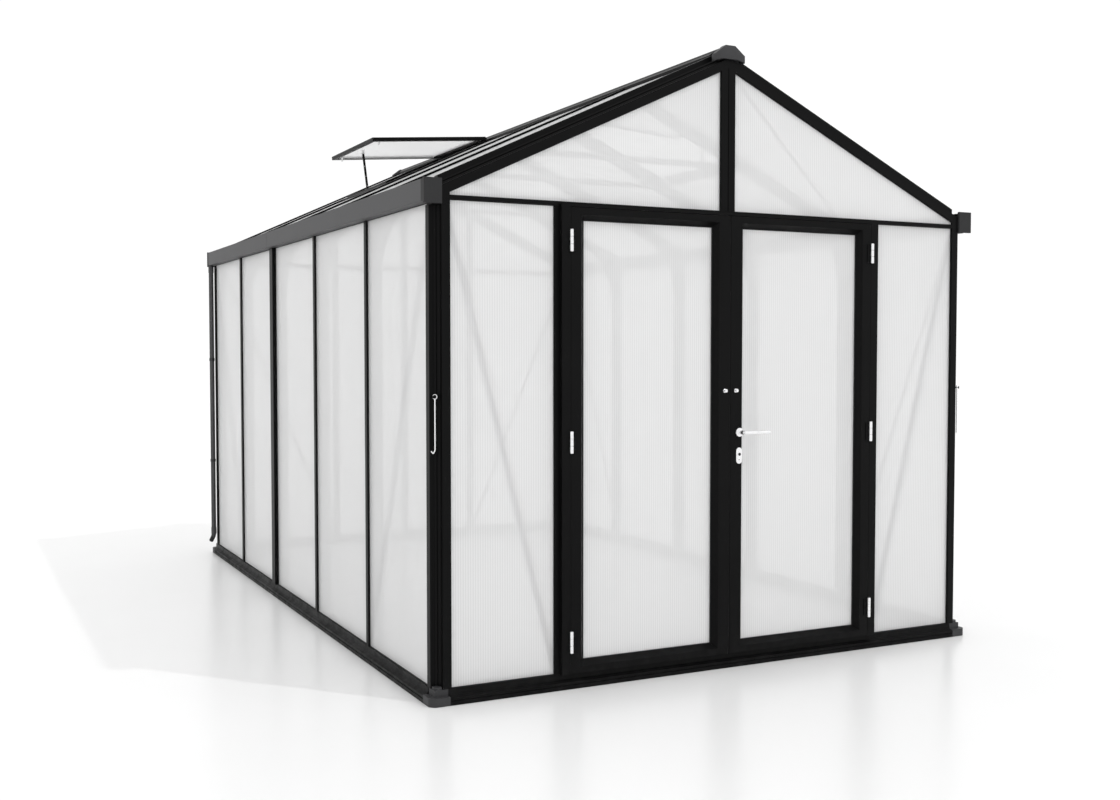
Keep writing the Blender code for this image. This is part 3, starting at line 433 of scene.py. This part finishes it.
def band(shape, outer, inner, place, across, up, depth):
    """A closed frame between two outlines with the same number of points."""
    across, up = Vector(across).normalized(), Vector(up).normalized()
    out = across.cross(up) * depth
    loops = []
    for outline in (outer, inner):
        base = [Vector(place) + across * a + up * b for a, b in outline]
        loops.append([shape.verts.new(point) for point in base])
        loops.append([shape.verts.new(point + out) for point in base])
    outer_back, outer_front, inner_back, inner_front = loops
    for k in range(len(outer)):
        n = (k + 1) % len(outer)
        shape.faces.new((outer_back[k], outer_back[n], outer_front[n], outer_front[k]))
        shape.faces.new((inner_back[n], inner_back[k], inner_front[k], inner_front[n]))
        shape.faces.new((outer_front[k], outer_front[n], inner_front[n], inner_front[k]))
        shape.faces.new((outer_back[n], outer_back[k], inner_back[k], inner_back[n]))


def piece(name, shape, body, finish):
    """Turn a bmesh into a named piece that rides on a body."""
    bmesh.ops.recalc_face_normals(shape, faces=shape.faces)
    mesh = bpy.data.meshes.new(name)
    shape.to_mesh(mesh)
    shape.free()
    mesh.shade_smooth()
    mesh.set_sharp_from_angle(angle=math.radians(35))
    mesh.materials.append(finish)
    item = bpy.data.objects.new(name, mesh)
    bpy.context.scene.collection.objects.link(item)
    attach(item, body)


def roof_z(x, depth):
    """Height of the roof at a distance from the ridge line, some depth below its outer plane."""
    return RIDGE_Z - abs(x) * math.tan(PITCH) - depth / math.cos(PITCH)


# Flat braces inside the walls and the roof

BRACE_WIDTH = 0.025
BRACE_THICK = 0.0026
BRACE_DEPTH = 0.0265        # middle of the braces, behind the panes' flanges
BRACE_TOP = 1.902
BRACE_FOOT = 0.084
BRACE_CORNER_IN = 0.072     # a brace's end from the outer planes of a corner
BRACE_BAR_IN = 0.026        # and from the middle of a bar
BRACE_BOLT = 0.0055


def brace(name, top, foot, inward):
    """A flat brace with a bolt at each end."""
    shape = bmesh.new()
    rounded_bar(shape, top, foot, inward, BRACE_WIDTH, BRACE_THICK)
    for end in (top, foot):
        face = Vector(end) + Vector(inward).normalized() * BRACE_THICK / 2
        hex_bolt(shape, face, inward, BRACE_BOLT)
    piece(name, shape, "house", BRACE_GREY)


def wall_braces(side, hand):
    """Braces of the end walls, from the corners' heads to the door posts and the rear uprights."""
    corner = side * (HALF - BRACE_CORNER_IN)
    front, rear = FRONT + BRACE_DEPTH, REAR - BRACE_DEPTH
    brace(f"brace_front_{hand}", (corner, front, BRACE_TOP), (side * 0.8225, front, BRACE_FOOT), (0, 1, 0))
    brace(f"brace_rear_{hand}", (corner, rear, BRACE_TOP), (side * 0.536, rear, BRACE_FOOT), (0, -1, 0))


def side_braces(side, hand):
    """Braces of the first and last bay of a side wall."""
    x = side * (HALF - BRACE_DEPTH)
    reach = BAY - BRACE_BAR_IN
    brace(f"brace_side_front_{hand}", (x, FRONT + BRACE_CORNER_IN, BRACE_TOP),
          (x, FRONT + reach, BRACE_FOOT), (-side, 0, 0))
    brace(f"brace_side_rear_{hand}", (x, REAR - BRACE_CORNER_IN, BRACE_TOP),
          (x, REAR - reach, BRACE_FOOT), (-side, 0, 0))


def roof_brace(side, hand):
    """Brace of the first roof bay, from the ridge to the foot of the first arch's rafter."""
    inward = (-side * math.sin(PITCH), 0, -math.cos(PITCH))
    high, low = side * 0.048, side * 1.270
    brace(f"brace_roof_{hand}", (high, FRONT + 0.092, roof_z(high, BRACE_DEPTH)),
          (low, FRONT + BAY - BRACE_BAR_IN, roof_z(low, BRACE_DEPTH)), inward)


# Seals

SEAL_WIDTH = 0.0032
SEAL_PROUD = 0.0030
DOOR_SEAL_PROUD = 0.0035
SEAL_SEAT = 0.0002          # how deep a strip is pressed against its pane
SEAL_DEPTH = PANE_DEPTH - SEAL_SEAT


def seal_loop(shape, corners, place, across, proud):
    """A rubber strip lying on a pane along the edge of its opening, with its corners mitred."""
    inner = []
    for k, corner in enumerate(corners):
        here = Vector(corner)
        before = (Vector(corners[k - 1]) - here).normalized()
        after = (Vector(corners[(k + 1) % len(corners)]) - here).normalized()
        slant = (before + after).normalized()
        sine = abs(before.x * slant.y - before.y * slant.x)
        inner.append(tuple(here + slant * (SEAL_WIDTH / sine)))
    band(shape, corners, inner, place, across, (0, 0, 1), proud)


def rectangle(a_low, b_low, a_high, b_high):
    return [(a_low, b_low), (a_high, b_low), (a_high, b_high), (a_low, b_high)]


def handed(side, outline):
    """An outline as it stands on the right, or turned over for the left."""
    return outline if side > 0 else [(-a, b) for a, b in outline[::-1]]


def bar_reach(number):
    """How far the bar at a bay line reaches over the panes beside it."""
    if number in (0, BAYS):
        return CORNER_BAR
    return JOINT_BAR_HALF if number == JOINT_BAR else BAR_HALF


def wall_seals():
    """Strips round the fixed panes of the side walls and beside the doors."""
    shape = bmesh.new()
    for side, _ in SIDES:
        for bay in range(BAYS):
            low = FRONT + bay * BAY + bar_reach(bay)
            high = FRONT + (bay + 1) * BAY - bar_reach(bay + 1)
            loop = handed(side, rectangle(low, WALL_FOOT, high, EAVE_Z))
            seal_loop(shape, loop, (side * (HALF - SEAL_DEPTH), 0, 0), (0, side, 0), SEAL_PROUD)
        loop = handed(side, rectangle(DOOR_POST_EDGE, WALL_FOOT, HALF - CORNER_BAR, HEADER_FOOT))
        seal_loop(shape, loop, (0, FRONT + SEAL_DEPTH, 0), (1, 0, 0), SEAL_PROUD)
    piece("wall_seals", shape, "house", RUBBER)


def gable_seals():
    """Strips round the two panes above the doors."""
    shape = bmesh.new()
    reach = (RIDGE_Z - CORNER_BAR / math.cos(PITCH) - HEADER_TOP) / math.tan(PITCH)
    peak = roof_z(GABLE_POST_HALF, CORNER_BAR)
    for side, _ in SIDES:
        loop = handed(side, [(GABLE_POST_HALF, HEADER_TOP), (reach, HEADER_TOP), (GABLE_POST_HALF, peak)])
        seal_loop(shape, loop, (0, FRONT + SEAL_DEPTH, 0), (1, 0, 0), SEAL_PROUD)
    piece("gable_seals", shape, "house", RUBBER)


def door_seals(side, hand):
    """The strip round a leaf's pane, and the lip where the leaves meet."""
    low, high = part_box(f"door_pane_{hand}")
    loop = rectangle(low.x + DOOR_BEAD, low.z + DOOR_BEAD, high.x - DOOR_BEAD, high.z - DOOR_BEAD)
    shape = bmesh.new()
    seal_loop(shape, loop, (0, low.y + SEAL_SEAT, 0), (1, 0, 0), DOOR_SEAL_PROUD)
    x_low, x_high = sorted((side * (MEETING_GAP - 0.0002), side * (MEETING_GAP - 0.0018)))
    face = FRONT - DOOR_PROUD
    block(shape, (x_low, face + 0.002, LEAF_FOOT + 0.002), (x_high, face + 0.010, LEAF_TOP - 0.002), 0.0006)
    piece(f"door_seals_{hand}", shape, f"door_{hand}", RUBBER)


# Door furniture

KNUCKLE_R = 0.0080
KNUCKLE_GAP = 0.0006
KNUCKLES = 3


def hinge_knuckles(shape, pivot, height):
    """Three bright knuckles over a hinge barrel, with a small button at each end."""
    foot = pivot + Vector((0, 0, height - HINGE_LENGTH / 2))
    length = (HINGE_LENGTH - (KNUCKLES - 1) * KNUCKLE_GAP) / KNUCKLES
    edge = 0.0008
    rim = KNUCKLE_R - edge
    sleeve = [(rim, 0), (KNUCKLE_R, edge), (KNUCKLE_R, length - edge), (rim, length)]
    for k in range(KNUCKLES):
        turned(shape, sleeve, foot + Vector((0, 0, k * (length + KNUCKLE_GAP))), (0, 0, 1), 28)
    button = [(0.0066, 0), (0.0066, 0.0006), (0.0052, 0.0014), (0.0020, 0.0018)]
    turned(shape, button, foot, (0, 0, -1))
    turned(shape, button, foot + Vector((0, 0, HINGE_LENGTH)), (0, 0, 1))


def hinges(side, hand):
    """Bright knuckles over the leaf's hinge barrels, and the screws of their flaps."""
    knuckles, screws = bmesh.new(), bmesh.new()
    pivot = Vector((side * PIVOT.x, PIVOT.y, 0))
    for height in HINGE_HEIGHTS:
        hinge_knuckles(knuckles, pivot, height)
        for rise in (-0.028, 0.0, 0.028):
            place = (side * (PIVOT.x - HINGE_SCREW_IN), FRONT - DOOR_PROUD - HINGE_FLAP, height + rise)
            pan_head(screws, place, (0, -1, 0), 0.0034)
    piece(f"hinge_knuckles_{hand}", knuckles, f"door_{hand}", STEEL_UPRIGHT)
    piece(f"hinge_screws_{hand}", screws, f"door_{hand}", BLACK)


def hook_stud(side, hand):
    """The bright stud on a leaf that a wind hook catches."""
    shape = bmesh.new()
    foot = Vector((side * EYE.x, EYE.y, EYE.z))
    stud = [(0.0085, -0.0001), (0.0085, 0.0014), (0.0052, 0.0020), (0.0045, 0.0055), (0.0047, 0.0105),
            (0.0070, 0.0120), (0.0070, 0.0138), (0.0050, 0.0150)]
    turned(shape, stud, foot, (0, -1, 0))
    piece(f"hook_stud_{hand}", shape, f"door_{hand}", STEEL_UPRIGHT)


def lock_details():
    """The key plate's two screws and drum, and a dark disc and block that are painted shade of the key way.
    """
    shape = bmesh.new()
    face = LOCK + Vector((0, -LOCK_THICK, 0))
    for rise in (0.026, -0.026):
        pan_head(shape, face + Vector((0, 0, rise)), (0, -1, 0), 0.0030)
    drum = [(0.0052, 0.0), (0.0052, 0.0010), (0.0044, 0.0016), (0.0016, 0.0016)]
    turned(shape, drum, face + Vector((0, 0, -0.011)), (0, -1, 0))
    piece("lock_screws", shape, "door_right", STEEL_LEVEL)
    # painted shade: a dark rubber-coloured disc and block stand in for the shade inside the key way
    dark = bmesh.new()
    turned(dark, [(0.0066, 0.0), (0.0066, 0.0004)], LOCK + Vector((0, -0.0071, 0.006)), (0, -1, 0))
    block(dark, LOCK + Vector((-0.0022, -0.0047, -0.019)), LOCK + Vector((0.0022, -0.0039, -0.009)), 0.0002)
    piece("lock_keyway_shade", dark, "door_right", RUBBER)


# Joints, caps and small metalwork

def post_head(side, hand):
    """The block that closes a corner post's open chambers under the gutter's end."""
    shape = bmesh.new()
    x_low, x_high = sorted((side * (HALF - 0.060), side * (HALF - 0.0005)))
    block(shape, (x_low, FRONT + 0.0005, EAVE_Z - 0.010), (x_high, FRONT + 0.060, EAVE_Z + 0.002), 0.0006)
    piece(f"post_head_{hand}", shape, "house", BLACK)


def ridge_caps():
    """Moulded caps that close the ends of the ridge beam."""
    low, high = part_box("ridge_beam")
    length, proud = 0.034, 0.006
    half = (high.x - low.x) / 2 + 0.004
    crest, foot, shoulder = high.z + 0.003, RIDGE_Z - 0.045, roof_z(half, -0.006)
    right = [(0.036, foot), (half, shoulder - 0.030), (half, shoulder), (0.024, crest)]
    left = [(-a, b) for a, b in right[::-1]]
    outline = [left[2], left[3], *right, left[0], left[1]]
    for name, inner_y in (("front", low.y - proud + length), ("rear", high.y + proud)):
        shape = bmesh.new()
        prism(shape, outline, (0, inner_y, 0), (1, 0, 0), (0, 0, 1), length)
        edges = [edge for edge in shape.edges if abs(edge.verts[0].co.y - edge.verts[1].co.y) < 1e-6]
        bmesh.ops.bevel(shape, geom=edges, offset=0.0015, segments=2, affect="EDGES", profile=0.5)
        piece(f"ridge_cap_{name}", shape, "house", CORNER_PLASTIC)


def arch_bolts():
    """Bolts through each arch's knees and the ends of its collar tie."""
    shape = bmesh.new()
    for number in range(1, BAYS):
        y = FRONT + number * BAY
        for side, _ in SIDES:
            for x, z in ((1.268, 1.885), (1.266, 1.945), (1.243, 1.974)):
                hex_bolt(shape, (side * x, y - 0.004, z), (0, -1, 0), 0.0045)
            hex_bolt(shape, (side * 0.655, y - 0.003, 2.320), (0, -1, 0), 0.0050)
    piece("arch_bolts", shape, "house", STEEL_UPRIGHT)


def joint_plates():
    """Cover strips where two lengths of base rail and of gutter meet."""
    shape = bmesh.new()
    y = FRONT + JOINT_BAR * BAY
    for side, _ in SIDES:
        base, fascia = HALF + BASE_OUT, HALF + FASCIA_OUT
        x_low, x_high = sorted((side * (base - 0.0002), side * (base + 0.0012)))
        block(shape, (x_low, y - 0.035, 0.001), (x_high, y + 0.035, 0.014), 0.0005)
        x_low, x_high = sorted((side * (fascia - 0.0002), side * (fascia + 0.0006)))
        block(shape, (x_low, y - 0.0015, EAVE_Z), (x_high, y + 0.0015, EAVE_Z + 0.084), 0.0003)
    piece("joint_plates", shape, "house", GUTTER_GREY)


def anchor_bolts():
    """Bolts that hold the base rails down, one in each bay."""
    shape = bmesh.new()
    for side, _ in SIDES:
        for number in range(BAYS):
            y = FRONT + (number + 0.5) * BAY
            hex_bolt(shape, (side * (HALF - 0.060), y, 0.024), (-side, 0, 0), 0.0060)
    piece("anchor_bolts", shape, "house", STEEL_UPRIGHT)


def pipe_clips(side, hand):
    """Two clips that hold a downpipe to the rear corner."""
    shape = bmesh.new()
    pipe = Vector((side * (HALF + PIPE_IN[0]), REAR - PIPE_IN[1], 0))
    inner, outer, rim = PIPE_R + 0.0003, PIPE_R + 0.0023, PIPE_R + 0.0021
    ring = [(inner, 0), (rim, 0), (outer, 0.001), (outer, 0.017), (rim, 0.018), (inner, 0.018)]
    x_low, x_high = sorted((side * (HALF + 0.0002), side * (HALF + 0.006)))
    for height in (0.62, 1.30):
        turned(shape, ring, pipe + Vector((0, 0, height)), (0, 0, 1), 32)
        low = (x_low, pipe.y - 0.006, height + 0.002)
        high = (x_high, pipe.y + 0.006, height + 0.016)
        block(shape, low, high, 0.0006)
    piece(f"pipe_clips_{hand}", shape, "house", CORNER_PLASTIC)


def vent_screws(side, hand):
    """Screws along the head and the free edge of a vent."""
    low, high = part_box(f"roof_vent_{hand}")
    tilt = PITCH - VENT_OPEN
    normal = Vector((side * math.sin(tilt), 0, math.cos(tilt)))
    down = Vector((side * math.cos(tilt), 0, -math.sin(tilt)))
    axis = Vector((side * VENT_AXIS, (low.y + high.y) / 2, roof_z(VENT_AXIS, -VENT_AXIS_OUT)))
    shape = bmesh.new()
    for along in (-0.36, -0.12, 0.12, 0.36):
        for reach in (0.018, 0.700):
            pan_head(shape, axis + down * reach + normal * VENT_FACE + Vector((0, along, 0)), normal, 0.0036)
    piece(f"vent_screws_{hand}", shape, f"vent_{hand}", BLACK)


# Stage, light and camera

CAMERA_PLACE = Vector((-3.0593, FRONT - 4.472, 1.376))
CAMERA_TURN = (math.pi / 2 - 0.0404, 0, -0.4668)
CAMERA_LENS = 40.10
SUN_WAY = (-0.507, 0.586, -1.0)
SUN_STRENGTH = 0.50
SUN_SPREAD = math.radians(1.2)
SKY_STRENGTH = 1.03


def link(name, data):
    """Put new data in the scene as an object."""
    item = bpy.data.objects.new(name, data)
    bpy.context.scene.collection.objects.link(item)
    return item


def floor():
    """A wide round floor just under the base."""
    shape = bmesh.new()
    bmesh.ops.create_circle(shape, cap_ends=True, radius=60, segments=96)
    mesh = bpy.data.meshes.new("studio_floor")
    shape.to_mesh(mesh)
    shape.free()
    mesh.materials.append(studio_floor("studio_floor"))
    item = link("studio_floor", mesh)
    item.location.z = CAD_BOX[0].z - 0.0005


def sun():
    """A soft sun from high on the right of the doors."""
    light = bpy.data.lights.new("key_sun", "SUN")
    light.energy = SUN_STRENGTH
    light.angle = SUN_SPREAD
    item = link("key_sun", light)
    item.rotation_euler = Vector(SUN_WAY).to_track_quat("-Z", "Y").to_euler()


def sky():
    """Even white light from all round."""
    world = bpy.data.worlds.new("studio")
    world.use_nodes = True
    backdrop = world.node_tree.nodes["Background"]
    backdrop.inputs["Color"].default_value = (1.0, 1.0, 1.0, 1)
    backdrop.inputs["Strength"].default_value = SKY_STRENGTH
    bpy.context.scene.world = world
    bpy.context.scene.view_settings.view_transform = "Standard"


def camera():
    data = bpy.data.cameras.new("camera")
    data.lens = CAMERA_LENS
    data.sensor_width = 36
    item = link("camera", data)
    item.location = CAMERA_PLACE
    item.rotation_euler = CAMERA_TURN
    bpy.context.scene.camera = item


dress_frame()
wall_seals()
gable_seals()
for side, hand in SIDES:
    wall_braces(side, hand)
    side_braces(side, hand)
    roof_brace(side, hand)
    door_seals(side, hand)
    hinges(side, hand)
    hook_stud(side, hand)
    post_head(side, hand)
    pipe_clips(side, hand)
    vent_screws(side, hand)
lock_details()
ridge_caps()
arch_bolts()
joint_plates()
anchor_bolts()
floor()
sun()
sky()
camera()
